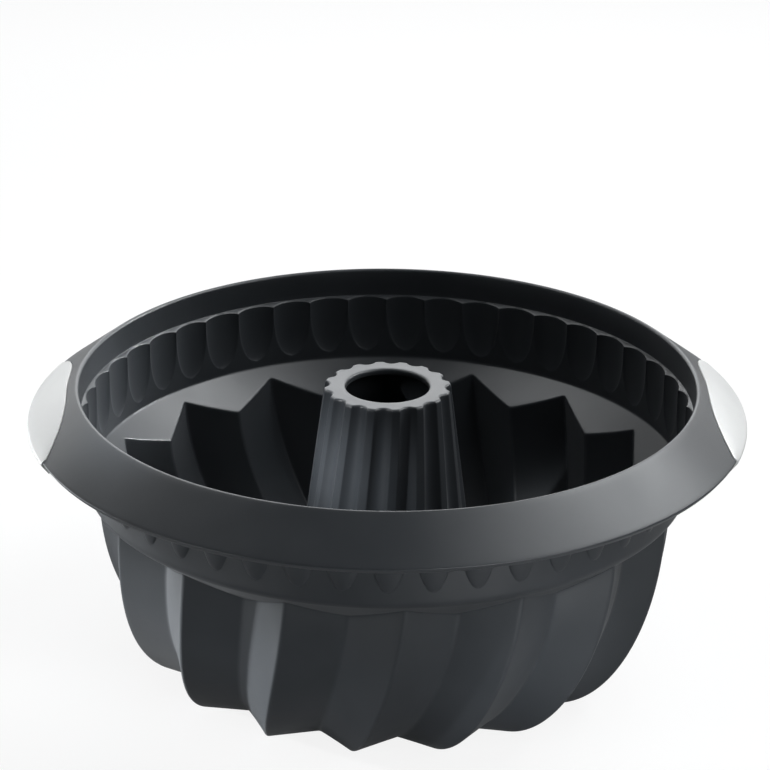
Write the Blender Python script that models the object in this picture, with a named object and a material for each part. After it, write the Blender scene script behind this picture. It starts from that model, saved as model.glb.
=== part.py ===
"""A swirled savarin mould: one thin silicone moulding with a fluted centre tube, a steel hoop snapped in
under its rim, and two silver grips screwed through the rim. Metres, +Z up, origin under the centre of the
base. Azimuth 0 points to the front, -Y, and grows towards +X."""

import math

import bmesh
import bpy
from mathutils import Vector

# Overall
HEIGHT = 0.1108             # crest of the rim above the surface that the mould stands on
CREST_RADIUS = 0.1125       # circle along the crest of the rim
CLEARANCE = 0.0003          # gap between pieces that touch
WALL = 0.0012

# Rim: a collar inside, a crest and a skirt that slopes outwards and down
RIM_REACH = 0.0175          # crest to the skirt's edge, level
RIM_DROP = 0.0132           # crest to the skirt's edge, down
RIM_WALL = 0.0026
CREST_ROUND = 0.0010
EDGE_ROUND = 0.0008
COLLAR_DEPTH = 0.0107       # smooth wall from the crest down to the small ledge
COLLAR_LEAN = 0.0012        # how far the collar leans in over that depth
COLLAR_WALL = 0.0020

# Scalloped band under the collar
SCALLOPS = 45
SCALLOP_START = 2.7         # degrees of azimuth of a cusp between two scallops
CUSP_LEDGE = 0.0021         # width of the small ledge at a cusp
LEDGE_REST = 0.0004         # width that is left of it in the middle of a scallop
BAND_DEPTH = 0.0255
BAND_LEAN = 0.0003
SCALLOP_LENGTH = 0.0222     # how far down the band a scallop runs before it fades out
BAND_FOOT_ROUND = 0.0040    # where the band turns into the shoulder, outside

# Shoulder and swirled lobes
SHOULDER_SLOPE = 38.0       # degrees, down towards the middle
SHOULDER_WIDTH = 0.0042     # band to the tips of the lobes
LOBES = 16
LOBE_DEPTH = 0.0092         # tip of a lobe to the valley beside it, measured along a radius
LOBE_ROUND = 0.08           # rounding of tips and valleys, as a share of a lobe's face
RIDGE_TUCK = 0.0328         # how far a tip curves in on its way to the floor
VALLEY_TUCK = 0.0356
RIDGE_FULLNESS = 2.15       # 2 is a quarter ellipse, more is a squarer turn
VALLEY_FULLNESS = 2.0
RIDGE_START = 2.0           # degrees of azimuth of a tip at the shoulder
VALLEY_START = 1.9          # degrees that a valley lies off the middle between two such tips
SWIRL_RATE = 48.0           # degrees for each metre along a lobe
SWIRL_GROWTH = 1395.0       # degrees for each square metre, so that the swirl tightens downwards

# Centre tube
TUBE_TOP_DROP = 0.0026      # crest of the rim down to the top of the tube
TUBE_TOP_RADIUS = 0.0231    # over the lands between the flutes
TUBE_DRAFT = 7.3            # degrees
TUBE_CAP = 0.0022           # thickness of the flat ring round the bore
TUBE_FOOT_ROUND = 0.0080
BORE_RADIUS = 0.0152
BORE_ROUND = 0.0006
FLUTE_DEPTH = 0.0018
FLUTE_LAND = 0.30           # share of a flute's pitch that the land takes
FLUTE_START = 6.3           # degrees of azimuth of a land at the top
FLUTE_SWIRL = 118.0         # degrees for each metre down

# Steel hoop under the crest
HOOP_WIRE = 0.0025
HOOP_GRASP = 250.0          # degrees at which the groove's lip ends, round the wire
HOOP_LIP = 0.0008
HOOP_SIDES = 8

# Grips
GRIP_HALF_ANGLE = 20.2      # degrees each side of the grip's middle
GRIP_INSET = 0.0036         # crest to the middle of the grip's inner border, level
GRIP_SWEEP = 0.0126         # how far the border runs out towards the edge at the grip's ends
BORDER_POWER = 3            # how late along the grip the border turns outwards
GRIP_SHELL = 0.0012
GRIP_PROUD = 0.0003         # how far the shell stands above the skirt
GRIP_EDGE = 0.0008          # how far the shell stands out past the skirt's edge
BACKING = 0.0020
BACKING_STEP = 0.0010       # how far the backing plate stays inside the shell's border
BACKING_HALF_ANGLE = 18.4
GRIP_STEPS = 14

# Screws that hold each grip together through the rim
SCREW_ANGLE = 11.5          # degrees from the middle screw to the outer ones
SCREW_RADIUS = 0.0010
BOSS_WALL = 0.0012
HEAD_RADIUS = 0.0021
HEAD_LAND = 0.0002
HEAD_HEIGHT = 0.0011

# Points round the moulding, and steps along its section
SCALLOP_POINTS = 4
FLUTE_POINTS = 5
RIM_POINTS = 60
FOOT_POINTS = 90
BORE_POINTS = 48
PATH_STEPS = 400            # along a lobe's curve, before it is divided into even rows
LOBE_ROWS = 9
BAND_ROWS = (0.0, 0.5, 0.8, 1.0)
BAND_FOOT_STEPS = 2
TUBE_ROWS = 3
TUBE_FOOT_STEPS = 3
CREST_STEPS = 2
GROOVE_STEPS = 5
ROD_SIDES = 12
SHARP_ANGLE = 25            # degrees of turn from which an edge is drawn sharp

# Derived: the rim
SLOPE = math.atan2(RIM_DROP, RIM_REACH)
SKIRT_LENGTH = (RIM_REACH - CREST_ROUND * math.sin(SLOPE)) / math.cos(SLOPE)
COLLAR_FOOT_RADIUS = CREST_RADIUS - COLLAR_LEAN
COLLAR_OUTSIDE = COLLAR_FOOT_RADIUS + COLLAR_WALL

# Derived: the band, the shoulder and the lobes
BAND_TOP_RADIUS = COLLAR_FOOT_RADIUS - CUSP_LEDGE
BAND_FOOT_RADIUS = BAND_TOP_RADIUS - BAND_LEAN
BAND_TOP_Z = HEIGHT - COLLAR_DEPTH
BAND_FOOT_Z = BAND_TOP_Z - BAND_DEPTH
SHOULDER_ANGLE = math.radians(SHOULDER_SLOPE)
RIDGE_RADIUS = BAND_FOOT_RADIUS - SHOULDER_WIDTH
VALLEY_RADIUS = RIDGE_RADIUS - LOBE_DEPTH
PITCH = 360 / LOBES

# Derived: the tube
TUBE_TOP = HEIGHT - TUBE_TOP_DROP
TUBE_FOOT = WALL + TUBE_FOOT_ROUND
TUBE_SPREAD = math.tan(math.radians(TUBE_DRAFT))


def polar(radius, azimuth, z):
    """Point at an azimuth in degrees, 0 at the front and growing towards +X."""
    angle = math.radians(azimuth)
    return Vector((radius * math.sin(angle), -radius * math.cos(angle), z))


def circle(radius, z, count):
    return [polar(radius, 360 * i / count, z) for i in range(count)]


def skirt(s, n):
    """(radius, z) on the sloping skirt: s down the slope from the crest, n out of its upper face."""
    radius = CREST_RADIUS + (CREST_ROUND + n) * math.sin(SLOPE) + s * math.cos(SLOPE)
    z = HEIGHT - CREST_ROUND + (CREST_ROUND + n) * math.cos(SLOPE) - s * math.sin(SLOPE)
    return radius, z


def skirt_s(radius, n):
    """Where along the skirt a radius is met, n above its upper face."""
    return (radius - skirt(0, n)[0]) / math.cos(SLOPE)


def skirt_point(s, n, azimuth):
    radius, z = skirt(s, n)
    return polar(radius, azimuth, z)


# Derived: the hoop lies against the collar and the underside of the skirt
GROOVE = HOOP_WIRE / 2 + CLEARANCE
HOOP_RADIUS = COLLAR_OUTSIDE + GROOVE
HOOP_Z = skirt(skirt_s(HOOP_RADIUS, -RIM_WALL - GROOVE), -RIM_WALL - GROOVE)[1]

# Derived: the grips, measured along the skirt and out of it
SHELL_TOP = GRIP_PROUD
SHELL_UNDER = GRIP_PROUD - GRIP_SHELL
SHELL_OUT = SKIRT_LENGTH + GRIP_EDGE
SHELL_IN = SHELL_OUT - GRIP_SHELL
BACKING_TOP = -RIM_WALL - CLEARANCE
BACKING_UNDER = BACKING_TOP - BACKING
BOSS_RADIUS = SCREW_RADIUS + CLEARANCE + BOSS_WALL


def shoulder_z(radius, depth=0.0):
    """Height of the shoulder's inner face, or of the face a wall's depth under it."""
    fall = (BAND_FOOT_RADIUS - radius) * math.tan(SHOULDER_ANGLE)
    return BAND_FOOT_Z - fall - depth / math.cos(SHOULDER_ANGLE)


def band_ring(depth, wall):
    """Ring across the scalloped band, so far below the small ledge."""
    cone = BAND_TOP_RADIUS - BAND_LEAN * depth / BAND_DEPTH + wall
    full = CUSP_LEDGE - LEDGE_REST
    middle = 1 - (depth / SCALLOP_LENGTH) ** 2
    ring = []
    for i in range(SCALLOPS * SCALLOP_POINTS):
        across = 2 * (i % SCALLOP_POINTS) / SCALLOP_POINTS - 1
        azimuth = SCALLOP_START + 360 * i / (SCALLOPS * SCALLOP_POINTS)
        hollow = full * max(0.0, middle - across**2)
        ring.append(polar(cone + hollow, azimuth, BAND_TOP_Z - depth))
    return ring


def outer_band_groups():
    """Rings down the outside of the band, and then round its foot into the shoulder."""
    corner = BAND_FOOT_RADIUS + WALL
    turn = math.pi / 2 - SHOULDER_ANGLE
    foot_z = shoulder_z(corner, WALL) + BAND_FOOT_ROUND * math.tan(turn / 2)
    reach = BAND_TOP_Z - foot_z
    band = [band_ring(WALL + (reach - WALL) * share, WALL) for share in BAND_ROWS]
    foot = []
    for step in range(1, BAND_FOOT_STEPS + 1):
        angle = turn * step / BAND_FOOT_STEPS
        radius = corner - BAND_FOOT_ROUND * (1 - math.cos(angle))
        foot.append(circle(radius, foot_z - BAND_FOOT_ROUND * math.sin(angle), FOOT_POINTS))
    return [band, foot]


def lobe_path(top_radius, tuck, fullness, wall):
    """(radius, z, length so far) down a tip or a valley, from the shoulder to the floor, at even steps."""
    top = top_radius + wall
    top_z = shoulder_z(top, wall)
    floor = WALL - wall
    path = [(top, top_z, 0.0)]
    for i in range(1, PATH_STEPS + 1):
        turn = 0.5 * math.pi * i / PATH_STEPS
        radius = top_radius - tuck + (tuck + wall) * max(0.0, math.cos(turn)) ** (2 / fullness)
        z = top_z - (top_z - floor) * math.sin(turn) ** (2 / fullness)
        last = path[-1]
        path.append((radius, z, last[2] + math.hypot(radius - last[0], z - last[1])))
    return [at_length(path, path[-1][2] * row / LOBE_ROWS) for row in range(LOBE_ROWS + 1)]


def at_length(path, length):
    for before, after in zip(path, path[1:]):
        if after[2] >= length:
            share = (length - before[2]) / (after[2] - before[2])
            return tuple(a + (b - a) * share for a, b in zip(before, after))
    return path[-1]


def swirl(length):
    """Degrees that a lobe has turned, back towards -X at the front, after so much of its length."""
    return SWIRL_RATE * length + SWIRL_GROWTH * length**2


def star_ring(tip, dip):
    """Ring round the lobes through tips and dips, each a (radius, z, azimuth), with the corners rounded."""
    corners = []
    for lobe in range(LOBES):
        corners.append(polar(tip[0], tip[2] + lobe * PITCH, tip[1]))
        corners.append(polar(dip[0], dip[2] + lobe * PITCH, dip[1]))
    ring = []
    for i, corner in enumerate(corners):
        before = corners[i - 1]
        after = corners[(i + 1) % len(corners)]
        ring.append(corner.lerp(before, LOBE_ROUND))
        ring.append(corner.lerp((before + after) / 2, LOBE_ROUND / 2))
        ring.append(corner.lerp(after, LOBE_ROUND))
    return ring


def lobe_rings(wall):
    """Rings round the swirled lobes, from the shoulder down to the floor. wall is 0 for the inner face."""
    ridge = lobe_path(RIDGE_RADIUS, RIDGE_TUCK, RIDGE_FULLNESS, wall)
    valley = lobe_path(VALLEY_RADIUS, VALLEY_TUCK, VALLEY_FULLNESS, wall)
    lower = LOBE_DEPTH * math.tan(SHOULDER_ANGLE)
    valley_start = VALLEY_START + PITCH / 2 + swirl(lower)
    rings = []
    for tip, dip in zip(ridge, valley):
        tip_azimuth = RIDGE_START - swirl(tip[2])
        dip_azimuth = valley_start - swirl(dip[2] + lower)
        rings.append(star_ring((tip[0], tip[1], tip_azimuth), (dip[0], dip[1], dip_azimuth)))
    return rings


def tube_radius(z):
    """Radius over the lands of the centre tube."""
    return TUBE_TOP_RADIUS + (TUBE_TOP - z) * TUBE_SPREAD


def tube_ring(z, radius, depth):
    """Ring round the fluted tube: each flute is a hollow between two narrow lands."""
    edge = FLUTE_LAND / 2
    ring = []
    for land in range(LOBES):
        middle = FLUTE_START - FLUTE_SWIRL * (TUBE_TOP - z) + land * PITCH
        ring.append(polar(radius, middle - edge * PITCH, z))
        for point in range(FLUTE_POINTS):
            part = point / FLUTE_POINTS
            azimuth = middle + (edge + (1 - FLUTE_LAND) * part) * PITCH
            ring.append(polar(radius - depth * (1 - (2 * part - 1) ** 2), azimuth, z))
    return ring


def tube_rings():
    """Rings down the outside of the tube and out over its rounded foot."""
    rings = []
    for row in range(TUBE_ROWS + 1):
        z = TUBE_TOP + (TUBE_FOOT - TUBE_TOP) * row / TUBE_ROWS
        rings.append(tube_ring(z, tube_radius(z), FLUTE_DEPTH))
    for step in range(1, TUBE_FOOT_STEPS + 1):
        angle = math.pi / 2 * step / TUBE_FOOT_STEPS
        z = TUBE_FOOT - TUBE_FOOT_ROUND * math.sin(angle)
        radius = tube_radius(TUBE_FOOT) + TUBE_FOOT_ROUND * (1 - math.cos(angle))
        rings.append(tube_ring(z, radius, FLUTE_DEPTH * math.cos(angle)))
    return rings


def rim_rings():
    """Rings over the crest, round the skirt's edge and back under it to the groove for the hoop."""
    rings = [circle(COLLAR_FOOT_RADIUS, BAND_TOP_Z, RIM_POINTS)]
    for step in range(CREST_STEPS + 1):
        angle = math.pi - math.pi / 2 * step / CREST_STEPS
        radius = CREST_RADIUS + CREST_ROUND * math.cos(angle)
        rings.append(circle(radius, HEIGHT - CREST_ROUND * (1 - math.sin(angle)), RIM_POINTS))
    section = [
        (0.0, 0.0),
        (SKIRT_LENGTH - EDGE_ROUND, 0.0),
        (SKIRT_LENGTH, -EDGE_ROUND),
        (SKIRT_LENGTH, EDGE_ROUND - RIM_WALL),
        (SKIRT_LENGTH - EDGE_ROUND, -RIM_WALL),
    ]
    rings += [circle(*skirt(s, n), RIM_POINTS) for s, n in section]
    start = math.pi / 2 - SLOPE
    end = math.radians(HOOP_GRASP)
    for step in range(GROOVE_STEPS + 1):
        angle = start + (end - start) * step / GROOVE_STEPS
        radius = HOOP_RADIUS + GROOVE * math.cos(angle)
        rings.append(circle(radius, HOOP_Z + GROOVE * math.sin(angle), RIM_POINTS))
    lip_radius = HOOP_RADIUS + GROOVE * math.cos(end)
    lip_z = HOOP_Z + GROOVE * math.sin(end)
    rings.append(circle(lip_radius, lip_z - HOOP_LIP, RIM_POINTS))
    rings.append(circle(COLLAR_OUTSIDE, lip_z - 2 * HOOP_LIP, RIM_POINTS))
    return rings


def underside_rings():
    """Rings from the outer edge of the base over the flat ring that it stands on, and up inside the tube."""
    rings = [circle(tube_radius(0) + TUBE_FOOT_ROUND - WALL, 0.0, BORE_POINTS)]
    inside = FLUTE_DEPTH + WALL
    low = TUBE_FOOT_ROUND / 4
    rings.append(circle(tube_radius(low) - inside + low, low, BORE_POINTS))
    rings.append(circle(tube_radius(TUBE_FOOT) - inside, TUBE_FOOT, BORE_POINTS))
    cap = TUBE_TOP - TUBE_CAP
    rings.append(circle(tube_radius(cap) - inside, cap, BORE_POINTS))
    rings.append(circle(BORE_RADIUS, cap, BORE_POINTS))
    rings.append(circle(BORE_RADIUS, TUBE_TOP - BORE_ROUND, BORE_POINTS))
    return rings


def moulding_groups():
    """All rings of the moulding in order: down the tube, out over the floor, up to the crest, round the
    rim, and back underneath to the bore."""
    return [
        [circle(BORE_RADIUS + BORE_ROUND, TUBE_TOP, BORE_POINTS)],
        tube_rings(),
        lobe_rings(0.0)[::-1],
        [band_ring(BAND_DEPTH * share, 0.0) for share in reversed(BAND_ROWS)],
        rim_rings(),
        *outer_band_groups(),
        lobe_rings(WALL),
        underside_rings(),
    ]


def azimuth_of(vert):
    return math.degrees(math.atan2(vert.co.x, -vert.co.y)) % 360


def azimuth_gap(a, b):
    return (azimuth_of(b) - azimuth_of(a) + 180) % 360 - 180


def bridge(bm, lower, upper):
    """Faces between two rings whose points belong together one by one."""
    for i in range(len(lower)):
        j = (i + 1) % len(lower)
        bm.faces.new((lower[i], lower[j], upper[j], upper[i]))


def stitch(bm, lower, upper):
    """Faces between two rings that differ in their number of points or in where they start."""
    count = len(lower)
    start = min(range(len(upper)), key=lambda k: abs(azimuth_gap(lower[0], upper[k])))
    upper = upper[start:] + upper[:start]
    lower_turns = unrolled(lower, lower[0])
    upper_turns = unrolled(upper, lower[0])
    i = j = 0
    while i < count or j < len(upper):
        a = lower[i % count]
        b = upper[j % len(upper)]
        step_lower = j == len(upper) or (
            i < count and lower_turns[i] + lower_turns[i + 1] <= upper_turns[j] + upper_turns[j + 1]
        )
        if step_lower:
            i += 1
            bm.faces.new((a, lower[i % count], b))
        else:
            j += 1
            bm.faces.new((a, upper[j % len(upper)], b))


def unrolled(ring, origin):
    """Azimuths round a ring, growing from the first, and once more the first after a full turn."""
    turns = [azimuth_gap(origin, ring[0])]
    for before, after in zip(ring, ring[1:] + ring[:1]):
        turns.append(turns[-1] + azimuth_gap(before, after))
    return turns


def finish_mesh(name, bm, material):
    bmesh.ops.recalc_face_normals(bm, faces=bm.faces)
    mesh = bpy.data.meshes.new(name)
    bm.to_mesh(mesh)
    bm.free()
    obj = bpy.data.objects.new(name, mesh)
    bpy.context.scene.collection.objects.link(obj)
    mesh.materials.append(material)
    mesh.shade_smooth()
    mesh.set_sharp_from_angle(angle=math.radians(SHARP_ANGLE))
    return obj


def ring_loft(name, groups, material):
    """A body through groups of rings round the axis, where the last ring joins the first. The rings of a
    group have their points one above another."""
    bm = bmesh.new()
    made = []
    for group in groups:
        for ring in group:
            made.append((group, [bm.verts.new(point) for point in ring]))
    for (group, lower), (next_group, upper) in zip(made, made[1:] + made[:1]):
        join = bridge if group is next_group else stitch
        join(bm, lower, upper)
    return finish_mesh(name, bm, material)


def capped_loft(name, outlines, material):
    """A bar through a list of outlines of as many points each, closed at both ends."""
    bm = bmesh.new()
    made = [[bm.verts.new(point) for point in outline] for outline in outlines]
    bm.faces.new(made[0])
    bm.faces.new(made[-1])
    for before, after in zip(made, made[1:]):
        bridge(bm, before, after)
    return finish_mesh(name, bm, material)


def make_hoop(material):
    """The wire hoop: one ring of points for each place round the wire."""
    rings = []
    for side in range(HOOP_SIDES):
        angle = 2 * math.pi * side / HOOP_SIDES
        radius = HOOP_RADIUS + HOOP_WIRE / 2 * math.cos(angle)
        rings.append(circle(radius, HOOP_Z + HOOP_WIRE / 2 * math.sin(angle), RIM_POINTS))
    return ring_loft("rim_hoop", [rings], material)


def border_s(offset, n, step=0.0):
    """Where along the skirt a grip's inner border lies, at an angle off the grip's middle."""
    sweep = GRIP_SWEEP * (abs(offset) / GRIP_HALF_ANGLE) ** BORDER_POWER
    return skirt_s(CREST_RADIUS + GRIP_INSET + sweep + step, n)


def shell_section(offset):
    """Outline across the silver shell: it lies on the skirt and turns down over its edge."""
    inner = border_s(offset, SHELL_TOP)
    bevel = GRIP_SHELL / 2
    return [
        (inner, SHELL_UNDER),
        (inner, SHELL_TOP),
        (SHELL_OUT - bevel, SHELL_TOP),
        (SHELL_OUT, SHELL_TOP - bevel),
        (SHELL_OUT, BACKING_UNDER),
        (SHELL_IN, BACKING_UNDER),
        (SHELL_IN, SHELL_UNDER),
    ]


def recess_section(offset):
    """What the shell needs out of the skirt, with clearance, and open above and outside."""
    inner = border_s(offset, SHELL_TOP) - CLEARANCE
    floor = SHELL_UNDER - CLEARANCE
    edge = SHELL_IN - CLEARANCE
    above = SHELL_TOP + GRIP_SHELL
    beyond = SHELL_OUT + GRIP_SHELL
    below = BACKING_UNDER - BACKING
    return [(inner, floor), (inner, above), (beyond, above), (beyond, below), (edge, below), (edge, floor)]


def backing_section(offset):
    inner = border_s(offset, BACKING_TOP, BACKING_STEP)
    outer = SHELL_IN - CLEARANCE
    return [(inner, BACKING_UNDER), (inner, BACKING_TOP), (outer, BACKING_TOP), (outer, BACKING_UNDER)]


def along_grip(name, section, middle, half_angle, material):
    """A bar round part of the rim. The steps are shorter towards its ends, where the border turns."""
    outlines = []
    for step in range(GRIP_STEPS + 1):
        offset = half_angle * math.sin(0.5 * math.pi * (2 * step / GRIP_STEPS - 1))
        outlines.append([skirt_point(s, n, middle + offset) for s, n in section(offset)])
    return capped_loft(name, outlines, material)


def rod(name, place, profile, material):
    """A turned piece square to the skirt: profile is a list of (radius, n) from one end to the other."""
    s, azimuth = place
    turn = math.radians(azimuth)
    out = Vector((math.sin(turn), -math.cos(turn), 0))
    across = Vector((math.cos(turn), math.sin(turn), 0))
    normal = out * math.sin(SLOPE) + Vector((0, 0, 1)) * math.cos(SLOPE)
    down = out * math.cos(SLOPE) - Vector((0, 0, 1)) * math.sin(SLOPE)
    origin = skirt_point(s, 0.0, azimuth)
    outlines = []
    for radius, n in profile:
        outline = []
        for side in range(ROD_SIDES):
            angle = 2 * math.pi * side / ROD_SIDES
            sideways = down * math.cos(angle) + across * math.sin(angle)
            outline.append(origin + normal * n + sideways * radius)
        outlines.append(outline)
    return capped_loft(name, outlines, material)


def make_cutter(obj):
    obj.hide_render = True
    obj.display_type = "WIRE"
    return obj


def cut(obj, cutter, operation="DIFFERENCE"):
    modifier = obj.modifiers.new(f"{operation.title()} {cutter.name}", "BOOLEAN")
    modifier.operation = operation
    modifier.object = cutter


def make_screw(label, place, body, shell, backing, steel):
    """One countersunk screw, the boss of the shell that it turns into, and the holes round both."""
    loose = SCREW_RADIUS + CLEARANCE
    sink = BACKING_UNDER + CLEARANCE
    boss = rod(f"boss_{label}", place, [(BOSS_RADIUS, SHELL_UNDER / 2), (BOSS_RADIUS, -RIM_WALL)], steel)
    thread = rod(f"thread_{label}", place, [(loose, -RIM_WALL - BACKING), (loose, SHELL_UNDER)], steel)
    passage = rod(
        f"passage_{label}",
        place,
        [(BOSS_RADIUS + CLEARANCE, GRIP_SHELL), (BOSS_RADIUS + CLEARANCE, -RIM_WALL - BACKING)],
        steel,
    )
    countersink = rod(
        f"countersink_{label}",
        place,
        [
            (loose, BACKING_TOP + BACKING),
            (loose, sink + HEAD_HEIGHT),
            (HEAD_RADIUS + CLEARANCE, sink + HEAD_LAND),
            (HEAD_RADIUS + CLEARANCE, BACKING_UNDER - BACKING),
        ],
        steel,
    )
    cut(shell, make_cutter(boss), "UNION")
    cut(shell, make_cutter(thread))
    cut(body, make_cutter(passage))
    cut(backing, make_cutter(countersink))
    profile = [
        (HEAD_RADIUS, BACKING_UNDER),
        (HEAD_RADIUS, BACKING_UNDER + HEAD_LAND),
        (SCREW_RADIUS, BACKING_UNDER + HEAD_HEIGHT),
        (SCREW_RADIUS, SHELL_UNDER - CLEARANCE),
    ]
    rod(f"grip_screw_{label}", place, profile, steel)


def make_grip(side, middle, body, silver, black, steel):
    """A silver shell on the skirt, a backing plate under it and three screws between the two."""
    shell = along_grip(f"grip_shell_{side}", shell_section, middle, GRIP_HALF_ANGLE, silver)
    backing = along_grip(f"grip_backing_{side}", backing_section, middle, BACKING_HALF_ANGLE, black)
    margin = math.degrees(CLEARANCE / CREST_RADIUS)
    recess = along_grip(f"recess_{side}", recess_section, middle, GRIP_HALF_ANGLE + margin, black)
    cut(body, make_cutter(recess))
    for number, offset in enumerate((-SCREW_ANGLE, 0.0, SCREW_ANGLE), 1):
        place = ((border_s(offset, 0.0) + SHELL_IN) / 2, middle + offset)
        make_screw(f"{side}_{number}", place, body, shell, backing, steel)


def make_material(name, colour, roughness, metallic):
    material = bpy.data.materials.new(name)
    material.use_nodes = True
    shader = material.node_tree.nodes["Principled BSDF"]
    shader.inputs["Base Color"].default_value = (*colour, 1)
    shader.inputs["Roughness"].default_value = roughness
    shader.inputs["Metallic"].default_value = metallic
    return material


def main():
    for obj in list(bpy.data.objects):
        bpy.data.objects.remove(obj)
    silicone = make_material("silicone", (0.030, 0.033, 0.036), 0.45, 0.0)
    silver = make_material("silver", (0.72, 0.73, 0.74), 0.35, 0.6)
    black = make_material("backing", (0.035, 0.037, 0.040), 0.5, 0.0)
    steel = make_material("steel", (0.55, 0.56, 0.57), 0.3, 1.0)
    body = ring_loft("mould_body", moulding_groups(), silicone)
    make_hoop(steel)
    make_grip("left", 270.0, body, silver, black, steel)
    make_grip("right", 90.0, body, silver, black, steel)


main()
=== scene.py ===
"""Looks of the swirled savarin mould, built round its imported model. Metres and degrees, +Z up. Azimuth 0
points to the front, -Y, and grows towards +X. The driving sizes are those of the solids, and each piece
here replaces its solid with a finer one of the same shape."""

import math

import bmesh
import bpy
from mathutils import Matrix, Vector


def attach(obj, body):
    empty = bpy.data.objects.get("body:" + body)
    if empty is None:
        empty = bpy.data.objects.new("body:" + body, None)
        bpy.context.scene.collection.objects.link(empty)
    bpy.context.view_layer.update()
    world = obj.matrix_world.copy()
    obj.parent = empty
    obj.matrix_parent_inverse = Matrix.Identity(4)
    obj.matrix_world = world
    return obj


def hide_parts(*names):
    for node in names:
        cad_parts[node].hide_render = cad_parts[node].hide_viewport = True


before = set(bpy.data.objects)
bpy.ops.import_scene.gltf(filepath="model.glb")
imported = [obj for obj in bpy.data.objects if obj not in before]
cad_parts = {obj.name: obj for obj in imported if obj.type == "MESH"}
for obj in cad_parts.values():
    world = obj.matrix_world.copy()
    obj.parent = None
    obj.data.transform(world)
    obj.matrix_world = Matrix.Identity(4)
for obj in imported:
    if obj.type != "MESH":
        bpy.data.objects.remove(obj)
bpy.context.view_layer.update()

# Overall
HEIGHT = 0.1108
CREST_RADIUS = 0.1125
CLEARANCE = 0.0003
WALL = 0.0012

# Rim
RIM_REACH = 0.0175
RIM_DROP = 0.0132
RIM_WALL = 0.0026
CREST_ROUND = 0.0010
EDGE_ROUND = 0.0006
LIP_ROUND = 0.0004
COLLAR_DEPTH = 0.0107
COLLAR_LEAN = 0.0012
COLLAR_WALL = 0.0020

# Scalloped band
SCALLOPS = 45
SCALLOP_START = 2.7
CUSP_LEDGE = 0.0021
LEDGE_REST = 0.0006
LEDGE_FALL = 0.62           # drop of the ledge to the inside, per length
BAND_DEPTH = 0.0255
BAND_LEAN = 0.0003
SCALLOP_LENGTH = 0.0224
SCALLOP_SQUARENESS = 2.8    # how long a scallop keeps its width before it closes
SCALLOP_NOSE = 0.72
BUMP_LENGTH = 0.0205        # the same hollows seen from outside
BUMP_HEIGHT = 0.0019
BUMP_NOSE = 0.62
BUMP_WIDTH = 0.86
BUMP_SQUARENESS = 2.0
BAND_FOOT_ROUND = 0.0040    # where the band turns into the shoulder, outside
FOOT_EASE = 0.0007          # and inside
LEDGE_ROUND = 0.0003        # rounding at both sides of the small ledge

# Shoulder and swirled lobes
SHOULDER_SLOPE = 38.0
SHOULDER_WIDTH = 0.0042
LOBES = 16
LOBE_DEPTH = 0.0092
LOBE_ROUND_INSIDE = 0.045
LOBE_ROUND_OUTSIDE = 0.055
RIDGE_TUCK = 0.0328
VALLEY_TUCK = 0.0356
RIDGE_FULLNESS = 2.15
VALLEY_FULLNESS = 2.0
RIDGE_START = 2.0
VALLEY_START = 1.9
SWIRL_RATE = 48.0
SWIRL_GROWTH = 1395.0
SHOULDER_EDGE = 0.0007      # rounding where the shoulder turns down into the lobes
SHOULDER_MARGIN = 0.0003    # between the band's outer rounding and the shoulder's first ring

# Centre tube
TUBE_TOP_DROP = 0.0026
TUBE_TOP_RADIUS = 0.0231
TUBE_DRAFT = 7.3
TUBE_CAP = 0.0022
TUBE_FOOT_ROUND = 0.0080
BORE_RADIUS = 0.0152
BORE_ROUND = 0.0011
TUBE_EDGE_ROUND = 0.0010
FLUTE_DEPTH = 0.0018
FLUTE_LAND = 0.30
FLUTE_START = 6.3
FLUTE_SWIRL = 118.0
FLUTE_EASE = 0.06           # rounding of a flute's two edges, as a share of its depth
TUBE_FIRST_ROW = 0.0020     # below the top, where the tube's even rows begin

# Underside
FOOT_LAND = 0.0040          # flat of the foot ring beside the hollow of the tube
UNDERSIDE_ROUNDS = (0.003, 0.003, 0.004, 0.0015, 0.0003)    # from the foot ring in to the bore's mouth

# Steel hoop
HOOP_WIRE = 0.0025
HOOP_GRASP = 250.0          # how far round the wire its groove reaches
HOOP_LIP = 0.0008
HOOP_LIP_ROUND = 0.0004
WELD_DIP = 0.05             # how much thinner the wire is at its seam
WELD_SPREAD = 0.35

# Grips
GRIP_MIDDLES = {"left": 270.0, "right": 90.0}
GRIP_HALF_ANGLE = 20.2
GRIP_INSET = 0.0036
GRIP_SWEEP = 0.0126
GRIP_SHELL = 0.0012
GRIP_PROUD = 0.0003
GRIP_EDGE = 0.0008
GRIP_CROWN = 0.0003         # how far the silver swells in the middle of its width
GRIP_FULL_CROWN = 0.008     # width from which it swells in full
GRIP_BEVEL = 0.00028
BACKING = 0.0020
BACKING_STEP = 0.0010
BACKING_HALF_ANGLE = 18.4
BACKING_BEVEL = 0.0003
GRIP_STEPS = 64

# Screws
SCREW_ANGLE = 11.5
SCREW_RADIUS = 0.0010
BOSS_WALL = 0.0012
HEAD_RADIUS = 0.0021
HEAD_LAND = 0.0002
HEAD_HEIGHT = 0.0011
SOCKET_RADIUS = 0.0009
SOCKET_DEPTH = 0.0007
SCREW_BEVEL = 0.00006

# Points round the moulding, the same for every ring
POINTS = 720
ARC_POINTS = 9              # across one rounded tip or valley
LOBE_ROWS = 64
BAND_ROWS = 26
BAND_CROWDING = 1.6         # how much closer the band's rows stand where the scallops close
TUBE_ROWS = 36

# Points across one scallop, in shares of its half width
EDGE_LEAST = 0.3            # range of the edge's place
EDGE_MOST = 0.97
EDGE_OUTSIDE = 0.06         # distance of the points on either side of the edge
EDGE_INSIDE = 0.05
BOWL_SPREAD = 0.84          # how much of the inside the bowl's points take

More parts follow.
